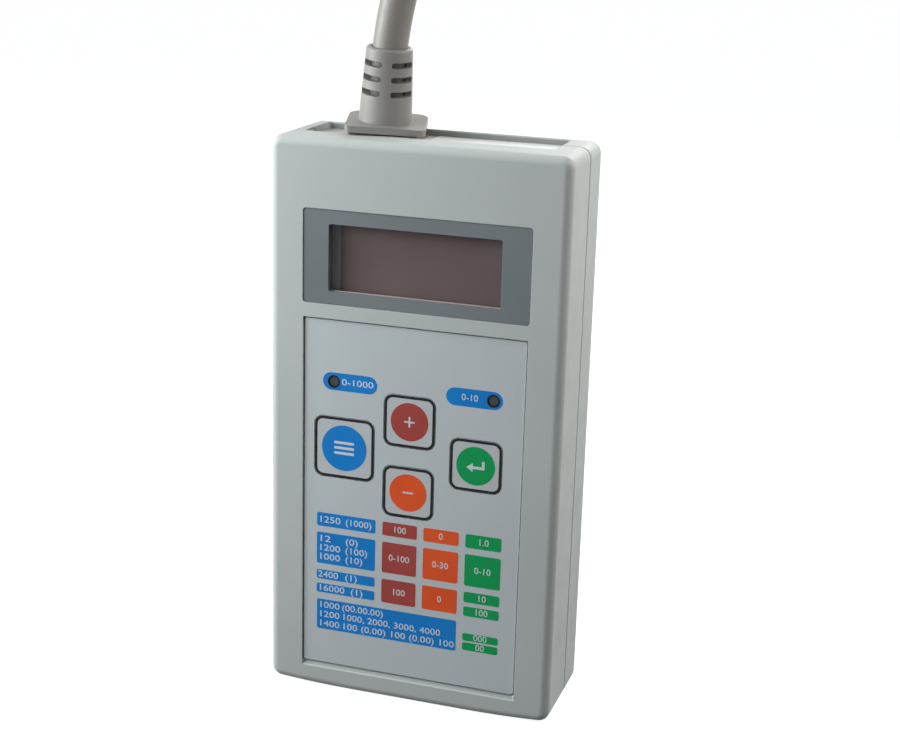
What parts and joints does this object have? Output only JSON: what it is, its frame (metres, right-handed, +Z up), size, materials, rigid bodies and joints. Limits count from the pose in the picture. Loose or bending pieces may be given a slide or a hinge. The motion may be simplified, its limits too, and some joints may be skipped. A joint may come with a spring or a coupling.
{
  "type": "smart energy monitor",
  "caption": "Hand-held mains energy monitor: two-shell case with a sunk membrane keypad, an LCD behind a slate frame and a thick lead in a slotted boot, coiled behind it to a plug and socket.",
  "frame": {"origin": "middle of the case's footprint, at the height of the foot that it stands on", "axes": "+Z up the length of the case, -Y out of the keypad face, +X to the right seen from the front"},
  "size_m": [0.1669, 0.2722, 0.3243],
  "materials": {
    "shell": "fine spark texture, satin",
    "end_panel": "satin",
    "label": "satin",
    "slate_frame": "satin",
    "clear_window": "clear",
    "lcd_screen": "matt front film",
    "backlight_panel": "clear",
    "circuit_board": "solder mask",
    "keypad_film": "fine texture",
    "key_film": "fine texture",
    "clear_film": "clear film",
    "dark_light": "diffused",
    "steel": "plated",
    "brass_metal": "bright",
    "can_metal": "bright",
    "black_plastic": "moulded",
    "green_plastic": "moulded",
    "fuse_glass": "clear",
    "lead_rubber": "smooth, pale grey",
    "core_sheath": "smooth",
    "plug_plastic": "moulded"
  },
  "bodies": {
    "monitor_case": {"front_shell": "shell", "back_shell": "shell", "case_screws": "steel", "display_frame": "slate_frame", "display_lens": "clear_window", "lcd_bezel": "steel", "lcd_glass": "lcd_screen", "lcd_backlight": "backlight_panel", "lcd_board": "circuit_board", "lcd_board_screws": "steel", "keypad_overlay": "keypad_film", "keypad_spacer": "clear_film", "keypad_base": "clear_film", "keypad_tail": "clear_film", "lcd_ribbon": "clear_film", "board_headers": "black_plastic", "main_board": "circuit_board", "main_board_screws": "steel", "mains_transformer": "steel", "terminal_block": "green_plastic", "current_shunt": "brass_metal", "fuse": "fuse_glass", "fuse_clips": "brass_metal", "microcontroller": "black_plastic", "timing_crystal": "can_metal", "board_capacitors": "can_metal", "voltage_regulator": "black_plastic", "clock_cell": "steel", "clock_cell_holder": "black_plastic", "top_end_panel": "end_panel", "top_label": "label", "cable_boot": "lead_rubber", "boot_clip": "black_plastic", "cord_entry": "lead_rubber", "inner_cores": "core_sheath", "power_cord": "lead_rubber", "cord_coil": "lead_rubber", "cord_tail": "lead_rubber", "plug_body": "plug_plastic", "plug_pins": "brass_metal", "plug_boot": "plug_plastic", "socket_plate": "plug_plastic", "overload_light": "dark_light", "edit_light": "dark_light", "mode_dome": "steel", "plus_dome": "steel", "minus_dome": "steel", "enter_dome": "steel"},
    "mode_key": {"mode_key": "key_film"},
    "plus_key": {"plus_key": "key_film"},
    "minus_key": {"minus_key": "key_film"},
    "enter_key": {"enter_key": "key_film"}
  },
  "joints": [
    {"name": "mode_press", "type": "slide", "parent": "monitor_case", "child": "mode_key", "axis": [0, 1, 0], "range_m": [0, 0.0004], "stiffness_N_per_m": 2000, "deforming": ["mode_dome"]},
    {"name": "plus_press", "type": "slide", "parent": "monitor_case", "child": "plus_key", "axis": [0, 1, 0], "range_m": [0, 0.0004], "stiffness_N_per_m": 2000, "deforming": ["plus_dome"]},
    {"name": "minus_press", "type": "slide", "parent": "monitor_case", "child": "minus_key", "axis": [0, 1, 0], "range_m": [0, 0.0004], "stiffness_N_per_m": 2000, "deforming": ["minus_dome"]},
    {"name": "enter_press", "type": "slide", "parent": "monitor_case", "child": "enter_key", "axis": [0, 1, 0], "range_m": [0, 0.0004], "stiffness_N_per_m": 2000, "deforming": ["enter_dome"]}
  ]
}
